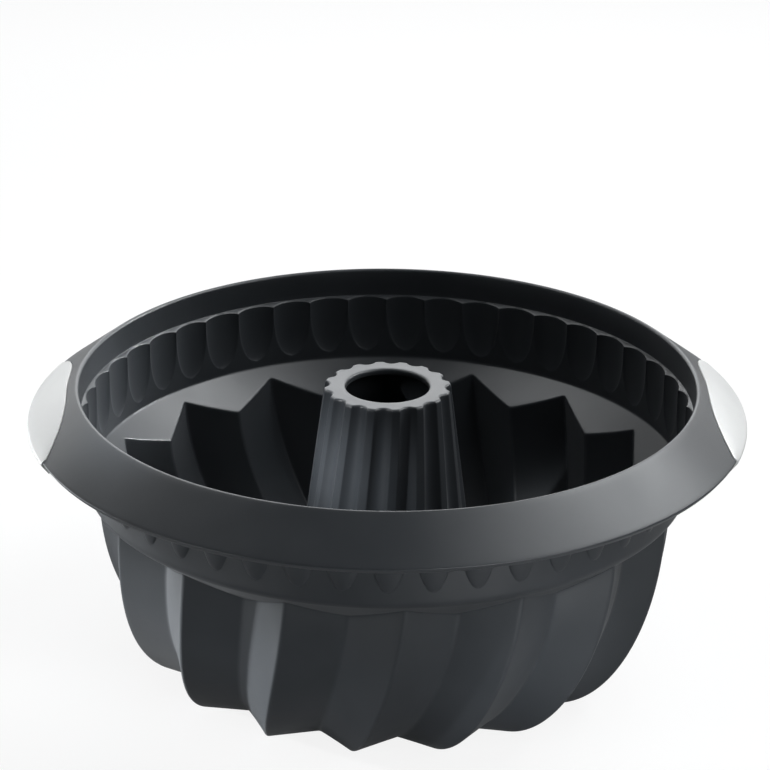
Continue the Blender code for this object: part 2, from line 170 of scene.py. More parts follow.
# Camera: where it stands, what its middle looks at, and its lens
CAMERA_DISTANCE = 1.1231
CAMERA_ELEVATION = 22.80
CAMERA_AZIMUTH = -1.7       # degrees off the front
CAMERA_AIM = Vector((-0.00093, 0.0, 0.10834))
CAMERA_ROLL = 0.49
CAMERA_LENS = 144.86
CAMERA_SENSOR = 36.0
CAMERA_CLIP = 0.05

# Light
LAMP_AIM = 0.06             # height that the soft boxes are turned to
LAMP_COLOUR = (0.955, 0.98, 1.0)
SPOT_SOFTNESS = 0.02
WORLD_FILL = 0.03           # light from all round
WORLD_FRONT = 0.03          # what glossy rays see towards the camera
WORLD_BACK = 1.0            # and behind the object
WORLD_RAMP = (0.2, 0.95)    # how far back a ray points where the one turns into the other
FLOOR_REACH = 6.0
FLOOR_ROUGHNESS = 0.9
FLOOR_GREY = 0.26           # in what the object sees of the floor
FLOOR_PALE = 0.95           # in what the camera sees of it
FLOOR_SEEN_WHITE = 0.86     # share of plain white in what the camera sees, the rest being lit and shaded

# Range that a noise's values mostly lie in
NOISE_LOW = 0.3
NOISE_HIGH = 0.7

# Derived: rim, band, lobes and tube
SLOPE = math.atan2(RIM_DROP, RIM_REACH)
SKIRT_LENGTH = (RIM_REACH - CREST_ROUND * math.sin(SLOPE)) / math.cos(SLOPE)
COLLAR_FOOT_RADIUS = CREST_RADIUS - COLLAR_LEAN
COLLAR_OUTSIDE = COLLAR_FOOT_RADIUS + COLLAR_WALL
BAND_TOP_RADIUS = COLLAR_FOOT_RADIUS - CUSP_LEDGE
BAND_FOOT_RADIUS = BAND_TOP_RADIUS - BAND_LEAN
BAND_TOP_Z = HEIGHT - COLLAR_DEPTH
BAND_FOOT_Z = BAND_TOP_Z - BAND_DEPTH
SHOULDER_ANGLE = math.radians(SHOULDER_SLOPE)
RIDGE_RADIUS = BAND_FOOT_RADIUS - SHOULDER_WIDTH
VALLEY_RADIUS = RIDGE_RADIUS - LOBE_DEPTH
PITCH = 360 / LOBES
TUBE_TOP = HEIGHT - TUBE_TOP_DROP
TUBE_FOOT = WALL + TUBE_FOOT_ROUND
TUBE_SPREAD = math.tan(math.radians(TUBE_DRAFT))


def polar(radius, azimuth, z):
    """Point at an azimuth in degrees, 0 at the front and growing towards +X."""
    angle = math.radians(azimuth)
    return Vector((radius * math.sin(angle), -radius * math.cos(angle), z))


def azimuth_of(point):
    """Azimuth of a point in degrees, from 0 up to 360."""
    return math.degrees(math.atan2(point.x, -point.y)) % 360


def circle(radius, z, start=SCALLOP_START):
    """A level ring of even steps that begins at an azimuth."""
    return [polar(radius, start + 360 * i / POINTS, z) for i in range(POINTS)]


def skirt(s, n):
    """(radius, z) on the sloping skirt: s down the slope from the crest, n out of its upper face."""
    radius = CREST_RADIUS + (CREST_ROUND + n) * math.sin(SLOPE) + s * math.cos(SLOPE)
    z = HEIGHT - CREST_ROUND + (CREST_ROUND + n) * math.cos(SLOPE) - s * math.sin(SLOPE)
    return radius, z


def skirt_s(radius, n):
    """Where along the skirt a radius is met, n above its upper face."""
    return (radius - skirt(0, n)[0]) / math.cos(SLOPE)


def skirt_point(s, n, azimuth):
    radius, z = skirt(s, n)
    return polar(radius, azimuth, z)


# Derived: the hoop, and the grips measured along the skirt and out of it
GROOVE = HOOP_WIRE / 2 + CLEARANCE
HOOP_RADIUS = COLLAR_OUTSIDE + GROOVE
HOOP_Z = skirt(skirt_s(HOOP_RADIUS, -RIM_WALL - GROOVE), -RIM_WALL - GROOVE)[1]
SHELL_TOP = GRIP_PROUD
SHELL_UNDER = GRIP_PROUD - GRIP_SHELL
SHELL_OUT = SKIRT_LENGTH + GRIP_EDGE
SHELL_IN = SHELL_OUT - GRIP_SHELL
BACKING_TOP = -RIM_WALL - CLEARANCE
BACKING_UNDER = BACKING_TOP - BACKING
BOSS_RADIUS = SCREW_RADIUS + CLEARANCE + BOSS_WALL


def shoulder_z(radius, depth=0.0):
    """Height of the shoulder's inner face, or of the face a wall's depth under it."""
    fall = (BAND_FOOT_RADIUS - radius) * math.tan(SHOULDER_ANGLE)
    return BAND_FOOT_Z - fall - depth / math.cos(SHOULDER_ANGLE)


def bend(before, corner, after, reach, steps=4):
    """Rings that round a corner between its two neighbours, each point along a parabola."""
    rings = []
    for step in range(steps + 1):
        t = step / steps
        ring = []
        for a, b, c in zip(before, corner, after):
            start = b + (a - b) * min(0.9, reach / (a - b).length)
            end = b + (c - b) * min(0.9, reach / (c - b).length)
            ring.append(start * (1 - t) ** 2 + b * (2 * t * (1 - t)) + end * t**2)
        rings.append(ring)
    return rings


def between(first, last, rows):
    """Rings in even steps between two, without either."""
    return [[a.lerp(b, row / rows) for a, b in zip(first, last)] for row in range(1, rows)]


def scallop_shares(edge):
    """Places across one scallop, from cusp to cusp as -1 to 1, drawn together at its two edges."""
    edge = min(max(edge, EDGE_LEAST), EDGE_MOST)
    outside = min(EDGE_OUTSIDE, (1 - edge) / 2)
    inside = EDGE_INSIDE * edge
    places = [-1.0, -edge - outside, -edge, -edge + inside]
    places += [BOWL_SPREAD * edge * (step / 4 - 1) for step in range(9)]
    places += [edge - inside, edge, edge + outside]
    return places


def band_ring(depth, wall, height, length, squareness, nose, width=1.0, fall=0.0):
    """Ring across the scalloped band, so far below the small ledge. A scallop is a spoon with its bowl
    upwards: its edges run down side by side and then close to a rounded point. The smaller its nose,
    the steeper its surface rises from its edges. The top of the band drops by the fall of the ledge."""
    cone = BAND_TOP_RADIUS - BAND_LEAN * depth / BAND_DEPTH + wall
    middle = 1 - (max(0.0, depth) / length) ** squareness
    edge = width * math.sqrt(max(0.0, middle))
    ring = []
    for scallop in range(SCALLOPS):
        for across in scallop_shares(edge):
            hollow = height * max(0.0, middle - (across / width) ** 2) ** nose
            top_hollow = height * max(0.0, 1 - (across / width) ** 2) ** nose
            drop = fall * (CUSP_LEDGE - top_hollow) * (1 - depth / BAND_DEPTH)
            azimuth = SCALLOP_START + (scallop + 0.5 + across / 2) * 360 / SCALLOPS
            ring.append(polar(cone + hollow, azimuth, BAND_TOP_Z - depth - drop))
    return ring


def inner_band_ring(depth):
    """Ring across the hollow scallops, under the ledge that slopes down over their cusps."""
    height = CUSP_LEDGE - LEDGE_REST
    return band_ring(depth, 0.0, height, SCALLOP_LENGTH, SCALLOP_SQUARENESS, SCALLOP_NOSE, fall=LEDGE_FALL)


def outer_band_ring(depth):
    """Ring across the bumps outside."""
    return band_ring(depth, WALL, BUMP_HEIGHT, BUMP_LENGTH, BUMP_SQUARENESS, BUMP_NOSE, BUMP_WIDTH)


def lobe_path(top_radius, tuck, fullness, wall):
    """(radius, z, length so far) down a tip or a valley, from the shoulder to the floor, at even steps."""
    top = top_radius + wall
    top_z = shoulder_z(top, wall)
    floor = WALL - wall
    fine = 1200
    path = [(top, top_z, 0.0)]
    for i in range(1, fine + 1):
        turn = 0.5 * math.pi * i / fine
        radius = top_radius - tuck + (tuck + wall) * max(0.0, math.cos(turn)) ** (2 / fullness)
        z = top_z - (top_z - floor) * math.sin(turn) ** (2 / fullness)
        last = path[-1]
        path.append((radius, z, last[2] + math.hypot(radius - last[0], z - last[1])))
    return even_steps(path, LOBE_ROWS)


def even_steps(path, steps):
    """Points of a path at even steps of its length, which is each point's last number."""
    places = []
    i = 0
    for step in range(steps + 1):
        length = path[-1][-1] * step / steps
        while i < len(path) - 2 and path[i + 1][-1] < length:
            i += 1
        before = path[i]
        after = path[i + 1]
        share = min(1.0, (length - before[-1]) / (after[-1] - before[-1]))
        places.append(tuple(a + (b - a) * share for a, b in zip(before, after)))
    return places


def swirl(length):
    """Degrees that a lobe has turned, back towards -X at the front, after so much of its length."""
    return SWIRL_RATE * length + SWIRL_GROWTH * length**2


def star_ring(tip, dip, round_share):
    """Ring round the lobes through tips and dips, each a (radius, z, azimuth), with the corners rounded."""
    corners = []
    for lobe in range(LOBES):
        corners.append(polar(tip[0], tip[2] + lobe * PITCH, tip[1]))
        corners.append(polar(dip[0], dip[2] + lobe * PITCH, dip[1]))
    flat_points = POINTS // LOBES - 2 * ARC_POINTS
    counts = (flat_points // 2, flat_points - flat_points // 2)
    ring = []
    for i, corner in enumerate(corners):
        before = corners[i - 1]
        after = corners[(i + 1) % len(corners)]
        start = corner.lerp(before, round_share)
        end = corner.lerp(after, round_share)
        for step in range(ARC_POINTS):
            t = step / (ARC_POINTS - 1)
            ring.append(start * (1 - t) ** 2 + corner * (2 * t * (1 - t)) + end * t**2)
        count = counts[i % 2]
        for step in range(1, count + 1):
            share = round_share + (1 - 2 * round_share) * step / (count + 1)
            ring.append(corner.lerp(after, share))
    return ring


def lobe_rings(wall, round_share):
    """Rings round the swirled lobes, from the shoulder down to the floor. wall is 0 for the inner face."""
    ridge = lobe_path(RIDGE_RADIUS, RIDGE_TUCK, RIDGE_FULLNESS, wall)
    valley = lobe_path(VALLEY_RADIUS, VALLEY_TUCK, VALLEY_FULLNESS, wall)
    lower = LOBE_DEPTH * math.tan(SHOULDER_ANGLE)
    valley_start = VALLEY_START + PITCH / 2 + swirl(lower)
    rings = []
    for (tip_radius, tip_z, tip_length), (dip_radius, dip_z, dip_length) in zip(ridge, valley):
        tip = (tip_radius, tip_z, RIDGE_START - swirl(tip_length))
        dip = (dip_radius, dip_z, valley_start - swirl(dip_length + lower))
        rings.append(star_ring(tip, dip, round_share))
    return rings


def evened(ring, share):
    """A ring with its points moved round, so far towards even steps as the share says."""
    first = azimuth_of(ring[0])
    drift = []
    for i, point in enumerate(ring):
        drift.append((azimuth_of(point) - first - 360 * i / POINTS + 180) % 360 - 180)
    middle = sum(drift) / POINTS
    moved = []
    for point, off in zip(ring, drift):
        radius = math.hypot(point.x, point.y)
        moved.append(polar(radius, azimuth_of(point) + (middle - off) * share, point.z))
    return moved


def on_shoulder(ring, outer_radius, share, depth):
    """The top ring of the lobes moved out along the shoulder, so far towards a circle of even steps."""
    moved = []
    for point in evened(ring, share**2):
        radius = math.hypot(point.x, point.y)
        radius += (outer_radius - radius) * share
        moved.append(polar(radius, azimuth_of(point), shoulder_z(radius, depth)))
    return moved


def shoulder_and_lobes(wall, round_share, outer_radius):
    """Rings from the shoulder's outer part over its rounded edge and down the lobes."""
    rings = lobe_rings(wall, round_share)
    shares = (1.0, 0.75, 0.5, 0.3, 0.15, 0.0)
    slope = [on_shoulder(rings[0], outer_radius, share, wall) for share in shares]
    return slope[:-1] + bend(slope[-2], slope[-1], rings[2], SHOULDER_EDGE) + rings[2:]


def tube_radius(z):
    """Radius over the lands of the centre tube."""
    return TUBE_TOP_RADIUS + (TUBE_TOP - z) * TUBE_SPREAD


def flute_dip(share):
    """Depth of a flute, 0 to 1, at a share of the pitch, with its two edges eased."""
    hollow = 1 - FLUTE_LAND
    across = abs((share - 0.5) * 2 / hollow)
    sharp = 1 - across**2
    if sharp > FLUTE_EASE:
        return sharp
    if sharp < -FLUTE_EASE:
        return 0.0
    return (sharp + FLUTE_EASE) ** 2 / (4 * FLUTE_EASE)


def tube_ring(z, radius, depth):
    """Ring round the fluted tube. It starts in the middle of a land."""
    count = POINTS // LOBES
    start = FLUTE_START - FLUTE_SWIRL * (TUBE_TOP - z)
    ring = []
    for i in range(POINTS):
        azimuth = start + PITCH * i / count
        ring.append(polar(radius - depth * flute_dip((i % count) / count), azimuth, z))
    return ring


def tube_rings():
    """Rings from inside the bore over the top of the tube, down its outside and out over its foot."""
    bore = circle(BORE_RADIUS, TUBE_TOP - TUBE_CAP, FLUTE_START)
    mouth = circle(BORE_RADIUS, TUBE_TOP, FLUTE_START)
    edge = tube_ring(TUBE_TOP, TUBE_TOP_RADIUS, FLUTE_DEPTH)
    first_z = TUBE_TOP - TUBE_FIRST_ROW
    below = tube_ring(first_z, tube_radius(first_z), FLUTE_DEPTH)
    rings = bend(bore, mouth, edge, BORE_ROUND, 5)
    rings += between(rings[-1], edge, 5)
    rings += bend(rings[-1], edge, below, TUBE_EDGE_ROUND)
    for row in range(TUBE_ROWS + 1):
        z = first_z + (TUBE_FOOT - first_z) * row / TUBE_ROWS
        rings.append(tube_ring(z, tube_radius(z), FLUTE_DEPTH))
    for step in range(1, 13):
        angle = math.radians(90) * step / 12
        radius = tube_radius(TUBE_FOOT) + TUBE_FOOT_ROUND * (1 - math.cos(angle))
        z = TUBE_FOOT - TUBE_FOOT_ROUND * math.sin(angle)
        rings.append(tube_ring(z, radius, FLUTE_DEPTH * math.cos(angle)))
    return rings


def inner_band_rings():
    """Rings from the rounded foot of the band up its scallops to the rounded edge of its ledge."""
    floor_radius = BAND_FOOT_RADIUS - 2 * FOOT_EASE
    floor = circle(floor_radius, shoulder_z(floor_radius))
    foot = evened(inner_band_ring(BAND_DEPTH), 1.0)
    above_foot = BAND_DEPTH - 2 * FOOT_EASE
    above = evened(inner_band_ring(above_foot), 0.8)
    halfway = evened(inner_band_ring((SCALLOP_LENGTH + above_foot) / 2), 0.4)
    rings = bend(floor, foot, above, FOOT_EASE)
    rings += [above, halfway]
    for row in range(BAND_ROWS):
        rings.append(inner_band_ring(SCALLOP_LENGTH * (1 - (row / BAND_ROWS) ** BAND_CROWDING)))
    top = inner_band_ring(0.0)
    collar = circle(COLLAR_FOOT_RADIUS, BAND_TOP_Z)
    rings += bend(rings[-1], top, collar, LEDGE_ROUND)
    return rings


def rim_rings():
    """Rings from the ledge up the collar, over the crest, round the skirt's edge, and under it round the
    groove of the hoop."""
    ledge = circle(COLLAR_FOOT_RADIUS - LEDGE_REST / 2, BAND_TOP_Z)
    foot = circle(COLLAR_FOOT_RADIUS, BAND_TOP_Z)
    collar_top = circle(CREST_RADIUS - CREST_ROUND, HEIGHT - CREST_ROUND)
    rings = bend(ledge, foot, collar_top, LEDGE_ROUND)
    rings += between(rings[-1], collar_top, 5)
    square = math.pi / 2 - SLOPE
    for step in range(11):
        angle = math.pi + (square - math.pi) * step / 10
        radius = CREST_RADIUS + CREST_ROUND * math.cos(angle)
        rings.append(circle(radius, HEIGHT - CREST_ROUND * (1 - math.sin(angle))))
    crest = rings[-1]
    upper = circle(*skirt(SKIRT_LENGTH, 0.0))
    lower = circle(*skirt(SKIRT_LENGTH, -RIM_WALL))
    under = circle(*skirt(skirt_s(HOOP_RADIUS, -RIM_WALL) + GROOVE, -RIM_WALL))
    rings += between(crest, upper, 12)
    rings += bend(rings[-1], upper, lower, EDGE_ROUND, 6)
    rings += bend(upper, lower, under, LIP_ROUND, 5)
    rings += between(rings[-1], under, 6)
    grasp = math.radians(HOOP_GRASP)
    for step in range(25):
        angle = square + (grasp - square) * step / 24
        rings.append(circle(HOOP_RADIUS + GROOVE * math.cos(angle), HOOP_Z + GROOVE * math.sin(angle)))
    lip_radius = HOOP_RADIUS + GROOVE * math.cos(grasp)
    lip_z = HOOP_Z + GROOVE * math.sin(grasp)
    lip = circle(lip_radius, lip_z - HOOP_LIP)
    collar = circle(COLLAR_OUTSIDE, lip_z - 2 * HOOP_LIP)
    lower_collar = circle(COLLAR_OUTSIDE, BAND_TOP_Z + WALL)
    rings += bend(rings[-1], lip, collar, HOOP_LIP_ROUND)
    rings += bend(lip, collar, lower_collar, HOOP_LIP_ROUND)
    return rings


def outer_band_rings():
    """Rings down the outside of the band, over the bumps of its scallops."""
    corner = BAND_FOOT_RADIUS + WALL
    turn = math.pi / 2 - SHOULDER_ANGLE
    foot_z = shoulder_z(corner, WALL) + BAND_FOOT_ROUND * math.tan(turn / 2)
    end = BAND_TOP_Z - foot_z
    rings = []
    for row in range(BAND_ROWS + 1):
        share = 1 - (1 - row / BAND_ROWS) ** BAND_CROWDING
        rings.append(outer_band_ring(WALL + (BUMP_LENGTH - WALL) * share))
    for share in (0.25, 0.5, 0.75):
        rings.append(evened(outer_band_ring(BUMP_LENGTH + (end - BUMP_LENGTH) * share), share))
    for step in range(9):
        angle = turn * step / 8
        radius = corner - BAND_FOOT_ROUND * (1 - math.cos(angle))
        rings.append(circle(radius, foot_z - BAND_FOOT_ROUND * math.sin(angle)))
    return rings


def underside_rings():
    """Rings from the flat ring that the mould stands on, up inside the tube to its bore."""
    inside = FLUTE_DEPTH + WALL
    base = tube_radius(0) + TUBE_FOOT_ROUND - WALL
    low = TUBE_FOOT_ROUND / 4
    cap = TUBE_TOP - TUBE_CAP
    outline = [
        (base + FOOT_LAND, 0.0),
        (base, 0.0),
        (tube_radius(low) - inside + low, low),
        (tube_radius(TUBE_FOOT) - inside, TUBE_FOOT),
        (tube_radius(cap) - inside, cap),
        (BORE_RADIUS, cap),
        (BORE_RADIUS, TUBE_TOP),
    ]
    corners = [circle(radius, z) for radius, z in outline]
    rings = [corners[0]]
    for before, corner, after, reach in zip(corners, corners[1:], corners[2:], UNDERSIDE_ROUNDS):
        rings += bend(before, corner, after, reach, 5)
    return rings


def moulding_groups():
    """All rings of the moulding in order: over the tube, out over the floor, up to the crest, round the
    rim, and back underneath to the bore."""
    inner_edge = BAND_FOOT_RADIUS - 1.5 * FOOT_EASE
    round_end = BAND_FOOT_RADIUS + WALL - BAND_FOOT_ROUND * (1 - math.sin(SHOULDER_ANGLE))
    outer_edge = round_end - SHOULDER_MARGIN
    return [
        tube_rings(),
        shoulder_and_lobes(0.0, LOBE_ROUND_INSIDE, inner_edge)[::-1],
        inner_band_rings(),
        rim_rings(),
        outer_band_rings(),
        shoulder_and_lobes(WALL, LOBE_ROUND_OUTSIDE, outer_edge),
        underside_rings(),
    ]


def nearest(point, ring):
    """Number of the ring's point that is nearest."""
    return min(range(len(ring)), key=lambda i: (ring[i] - point).length_squared)


def weave(name, groups):
    """A closed skin over groups of rings, where the last ring joins the first. Rings of a group have their
    points one beside another, and between two groups the nearest points join."""
    points = []
    faces = []
    rings = []
    for number, group in enumerate(groups):
        rings += [(number, ring) for ring in group]
    for k, (number, ring) in enumerate(rings):
        points += ring
        after = (k + 1) % len(rings)
        next_number, next_ring = rings[after]
        shift = 0 if next_number == number else nearest(ring[0], next_ring)
        here = k * POINTS
        there = after * POINTS
        for i in range(POINTS):
            j = (i + 1) % POINTS
            faces.append((here + i, here + j, there + (j + shift) % POINTS, there + (i + shift) % POINTS))
    return add_object(name, points, faces)


def add_object(name, points, faces):
    """A mesh object in the scene, with its faces turned outwards."""
    mesh = bpy.data.meshes.new(name)
    mesh.from_pydata(points, [], faces)
    bm = bmesh.new()
    bm.from_mesh(mesh)
    bmesh.ops.recalc_face_normals(bm, faces=bm.faces)
    bm.to_mesh(mesh)
    bm.free()
    obj = bpy.data.objects.new(name, mesh)
    bpy.context.scene.collection.objects.link(obj)
    return obj


def shade(obj, degrees):
    """Smooth shading, except over edges that turn by more than so many degrees."""
    obj.data.shade_smooth()
    obj.data.set_sharp_from_angle(angle=math.radians(degrees))


def capped_loft(name, outlines):
    """A bar through outlines of as many points each, closed at both ends."""
    count = len(outlines[0])
    points = [point for outline in outlines for point in outline]
    faces = [tuple(range(count)), tuple(range(len(points) - count, len(points)))]
    for row in range(len(outlines) - 1):
        for i in range(count):
            j = (i + 1) % count
            faces.append((row * count + i, row * count + j, (row + 1) * count + j, (row + 1) * count + i))
    return add_object(name, points, faces)


def settle(obj):
    """Applies an object's modifiers and returns it."""
    graph = bpy.context.evaluated_depsgraph_get()
    mesh = bpy.data.meshes.new_from_object(obj.evaluated_get(graph))
    obj.modifiers.clear()
    obj.data = mesh
    return obj


def carve(obj, cutters, operation="DIFFERENCE"):
    """Cuts the cutters out of an object, or joins them to it, and deletes them."""
    for cutter in cutters:
        modifier = obj.modifiers.new(cutter.name, "BOOLEAN")
        modifier.operation = operation
        modifier.object = cutter
    settle(obj)
    for cutter in cutters:
        bpy.data.objects.remove(cutter)
    return obj


def bevel(obj, width, segments=3):
    """Breaks the edges that turn by more than 35 degrees."""
    modifier = obj.modifiers.new("bevel", "BEVEL")
    modifier.width = width
    modifier.segments = segments
    modifier.limit_method = "ANGLE"
    modifier.angle_limit = math.radians(35)
    return settle(obj)


def border_s(offset, n, step=0.0):
    """Where along the skirt a grip's inner border lies, at an angle off the grip's middle."""
    radius = CREST_RADIUS + GRIP_INSET + GRIP_SWEEP * (abs(offset) / GRIP_HALF_ANGLE) ** 3 + step
    return skirt_s(radius, n)


def shell_section(offset):
    """Outline across the silver shell. It lies on the skirt, swells a little and turns down at its edge."""
    inner = border_s(offset, SHELL_TOP)
    width = SHELL_OUT - inner
    outline = [(inner, SHELL_UNDER)]
    for step in range(13):
        share = step / 12
        swell = GRIP_CROWN * (1 - (2 * share - 1) ** 2) * min(1.0, width / GRIP_FULL_CROWN)
        outline.append((inner + (width - GRIP_SHELL) * share, SHELL_TOP + swell))
    for step in range(1, 7):
        angle = math.radians(90) * step / 6
        s = SHELL_OUT - GRIP_SHELL * (1 - math.sin(angle))
        outline.append((s, SHELL_TOP - GRIP_SHELL * (1 - math.cos(angle))))
    return outline + [(SHELL_OUT, BACKING_UNDER), (SHELL_IN, BACKING_UNDER), (SHELL_IN, SHELL_UNDER)]


def recess_section(offset):
    """What the shell needs out of the skirt, with clearance, and open above and outside."""
    inner = border_s(offset, SHELL_TOP) - CLEARANCE
    floor = SHELL_UNDER - CLEARANCE
    edge = SHELL_IN - CLEARANCE
    above = SHELL_TOP + GRIP_SHELL
    beyond = SHELL_OUT + GRIP_SHELL
    below = BACKING_UNDER - BACKING
    return [(inner, floor), (inner, above), (beyond, above), (beyond, below), (edge, below), (edge, floor)]


def backing_section(offset):
    """Outline across the backing plate, a step narrower than the shell."""
    inner = border_s(offset, BACKING_TOP, BACKING_STEP)
    outer = SHELL_IN - CLEARANCE
    return [(inner, BACKING_UNDER), (inner, BACKING_TOP), (outer, BACKING_TOP), (outer, BACKING_UNDER)]


def along_grip(name, section, middle, half_angle):
    """A bar round part of the rim. The steps are shorter towards its ends, where the border turns."""
    outlines = []
    for step in range(GRIP_STEPS + 1):
        offset = half_angle * math.sin(0.5 * math.pi * (2 * step / GRIP_STEPS - 1))
        outlines.append([skirt_point(s, n, middle + offset) for s, n in section(offset)])
    return capped_loft(name, outlines)


def rod(name, place, profile, sides=32):
    """A turned piece square to the skirt: profile is a list of (radius, n) from one end to the other."""
    s, azimuth = place
    turn = math.radians(azimuth)
    out = Vector((math.sin(turn), -math.cos(turn), 0))
    across = Vector((math.cos(turn), math.sin(turn), 0))
    normal = out * math.sin(SLOPE) + Vector((0, 0, 1)) * math.cos(SLOPE)
    down = out * math.cos(SLOPE) - Vector((0, 0, 1)) * math.sin(SLOPE)
    origin = skirt_point(s, 0.0, azimuth)
    outlines = []
    for radius, n in profile:
        outline = []
        for side in range(sides):
            angle = 2 * math.pi * side / sides
            sideways = down * math.cos(angle) + across * math.sin(angle)
            outline.append(origin + normal * n + sideways * radius)
        outlines.append(outline)
    return capped_loft(name, outlines)


def screw_places(middle):
    """(s along the skirt, azimuth) of each screw of a grip."""
    places = []
    for offset in (-SCREW_ANGLE, 0.0, SCREW_ANGLE):
        places.append(((border_s(offset, 0.0) + SHELL_IN) / 2, middle + offset))
    return places


def make_screw(name, place, material):
    """A countersunk screw with a hexagon socket, seen from under the rim."""
    profile = [
        (HEAD_RADIUS, BACKING_UNDER),
        (HEAD_RADIUS, BACKING_UNDER + HEAD_LAND),
        (SCREW_RADIUS, BACKING_UNDER + HEAD_HEIGHT),
        (SCREW_RADIUS, SHELL_UNDER - CLEARANCE),
    ]
    screw = rod(name, place, profile)
    socket_profile = [
        (SOCKET_RADIUS, BACKING_UNDER - BACKING),
        (SOCKET_RADIUS, BACKING_UNDER + SOCKET_DEPTH),
    ]
    carve(screw, [rod("socket", place, socket_profile, 6)])
    bevel(screw, SCREW_BEVEL, 2)
    shade(screw, 35)
    finish_piece(screw, material, "steel", name)


def make_grip(side, middle, silver, black, steel):
    """A silver shell with its bosses, a backing plate under it and three screws."""
    places = screw_places(middle)
    loose = SCREW_RADIUS + CLEARANCE
    shell = along_grip(f"shell_{side}", shell_section, middle, GRIP_HALF_ANGLE)
    bevel(shell, GRIP_BEVEL)
    boss_profile = [(BOSS_RADIUS, SHELL_UNDER / 2), (BOSS_RADIUS, -RIM_WALL)]
    thread_profile = [(loose, -RIM_WALL - BACKING), (loose, SHELL_UNDER)]
    carve(shell, [rod("boss", place, boss_profile) for place in places], "UNION")
    carve(shell, [rod("thread", place, thread_profile) for place in places])
    shade(shell, 30)
    finish_piece(shell, silver, "silver", f"grip_shell_{side}")

    backing = along_grip(f"backing_{side}", backing_section, middle, BACKING_HALF_ANGLE)
    bevel(backing, BACKING_BEVEL)
    sink = BACKING_UNDER + CLEARANCE
    sink_radius = HEAD_RADIUS + CLEARANCE
    sink_profile = [
        (loose, BACKING_TOP + BACKING),
        (loose, sink + HEAD_HEIGHT),
        (sink_radius, sink + HEAD_LAND),
        (sink_radius, BACKING_UNDER - BACKING),
    ]
    carve(backing, [rod("sink", place, sink_profile) for place in places])
    shade(backing, 30)
    finish_piece(backing, black, "backing", f"grip_backing_{side}")
    for number, place in enumerate(places, 1):
        make_screw(f"grip_screw_{side}_{number}", place, steel)


def finish_piece(obj, material, slot, *nodes):
    """Gives a piece its material, and puts it in place of its solids. The slot is not used."""
    obj.data.materials.clear()
    obj.data.materials.append(material)
    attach(obj, "root")
    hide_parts(*nodes)


def make_moulding(material):
    """The silicone moulding, with the recesses and passages for the grips cut into its rim."""
    body = weave("moulding", moulding_groups())
    margin = math.degrees(CLEARANCE / CREST_RADIUS)
    passage_radius = BOSS_RADIUS + CLEARANCE
    passage_profile = [(passage_radius, GRIP_SHELL), (passage_radius, -RIM_WALL - BACKING)]
    recesses = []
    passages = []
    for middle in GRIP_MIDDLES.values():
        recesses.append(along_grip("recess", recess_section, middle, GRIP_HALF_ANGLE + margin))
        passages += [rod("passage", place, passage_profile) for place in screw_places(middle)]
    carve(body, recesses)
    carve(body, passages)
    shade(body, 40)
    finish_piece(body, material, "silicone", "mould_body")


def make_hoop(material):
    """The wire hoop, closed by a weld seam at the back."""
    sides = 20
    around = 240
    points = []
    faces = []
    for i in range(around):
        azimuth = 360 * i / around
        gap = abs(azimuth - 180)
        reach = HOOP_WIRE / 2 * (1 - WELD_DIP * math.exp(-((gap / WELD_SPREAD) ** 2)))
        for side in range(sides):
            angle = 2 * math.pi * side / sides
            radius = HOOP_RADIUS + reach * math.cos(angle)
            points.append(polar(radius, azimuth, HOOP_Z + reach * math.sin(angle)))
            j = (side + 1) % sides
            k = (i + 1) % around
            faces.append((i * sides + side, i * sides + j, k * sides + j, k * sides + side))
    hoop = add_object("hoop", points, faces)
    shade(hoop, 60)
    finish_piece(hoop, material, "steel", "rim_hoop")


class Nodes:
    """Short calls for building one material's node tree."""

    def __init__(self, name):
        self.material = bpy.data.materials.new(name)
        self.material.use_nodes = True
        self.tree = self.material.node_tree
        self.shader = self.tree.nodes["Principled BSDF"]
        self.place = self.add("ShaderNodeTexCoord").outputs["Object"]

    def add(self, kind, **settings):
        node = self.tree.nodes.new(kind)
        for key, value in settings.items():
            setattr(node, key, value)
        return node

    def link(self, source, target):
        self.tree.links.new(source, target)

    def noise(self, scale, detail=3.0, roughness=0.55):
        node = self.add("ShaderNodeTexNoise")
        node.inputs["Scale"].default_value = scale
        node.inputs["Detail"].default_value = detail
        node.inputs["Roughness"].default_value = roughness
        self.link(self.place, node.inputs["Vector"])
        return node.outputs["Fac"]

    def spread(self, source, low, high):
        """A noise's values spread from a low to a high one."""
        node = self.add("ShaderNodeMapRange")
        node.inputs["From Min"].default_value = NOISE_LOW
        node.inputs["From Max"].default_value = NOISE_HIGH
        node.inputs["To Min"].default_value = low
        node.inputs["To Max"].default_value = high
        self.link(source, node.inputs["Value"])
        return node.outputs["Result"]

    def blend(self, share, first, second):
        """A colour between two, at a share that changes over the object."""
        node = self.add("ShaderNodeMix", data_type="RGBA")
        self.link(share, node.inputs["Factor"])
        node.inputs["A"].default_value = (*first, 1)
        node.inputs["B"].default_value = (*second, 1)
        return node.outputs["Result"]

    def bump(self, source, strength, distance, base=None):
        """Relief finer than the mesh, on top of a coarser one where a base is given."""
        node = self.add("ShaderNodeBump")
        node.inputs["Strength"].default_value = strength
        node.inputs["Distance"].default_value = distance
        self.link(source, node.inputs["Height"])
        if base is not None:
            self.link(base, node.inputs["Normal"])
        return node.outputs["Normal"]


